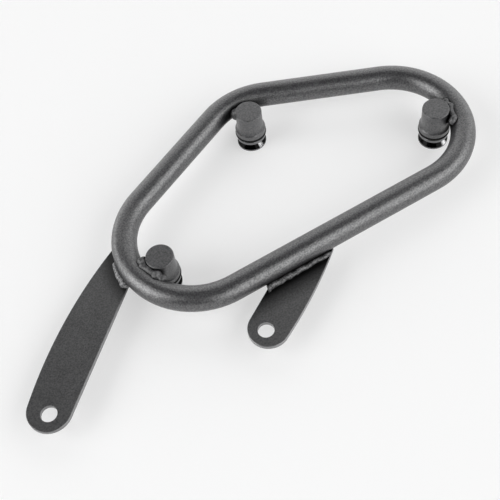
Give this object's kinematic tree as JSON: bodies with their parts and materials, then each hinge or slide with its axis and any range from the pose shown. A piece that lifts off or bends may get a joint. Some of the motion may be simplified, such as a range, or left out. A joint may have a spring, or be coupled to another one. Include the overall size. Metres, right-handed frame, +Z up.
{
  "type": "pannier frame",
  "caption": "Closed triangular loop of bent black steel tube with bolt-on plate tabs and welded posts carrying dark polished studs, which holds a pannier at the side of a motorbike.",
  "frame": {"origin": "axis of the apex stud at its foot, where the frame stands", "axes": "+X along the base run of the loop, away from the long tab; +Y from the base run to the apex; +Z up, from the feet of the studs to the tops of the posts"},
  "size_m": [0.3389, 0.1767, 0.0302],
  "materials": {
    "black_powder_coat": "fine-textured satin powder coat",
    "dark_chrome": "polished dark chrome",
    "black_rubber": "matte"
  },
  "bodies": {
    "root": {"loop_tube": "black_powder_coat", "long_tab": "black_powder_coat", "short_tab": "black_powder_coat", "apex_post": "black_powder_coat", "left_post": "black_powder_coat", "right_post": "black_powder_coat", "apex_post_weld": "black_powder_coat", "left_post_weld": "black_powder_coat", "right_post_weld": "black_powder_coat", "long_tab_weld": "black_powder_coat", "long_tab_under_weld": "black_powder_coat", "short_tab_weld": "black_powder_coat", "short_tab_under_weld": "black_powder_coat", "apex_stud": "dark_chrome", "left_stud": "dark_chrome", "right_stud": "dark_chrome", "apex_ring": "black_rubber", "left_ring": "black_rubber", "right_ring": "black_rubber"}
  },
  "joints": []
}
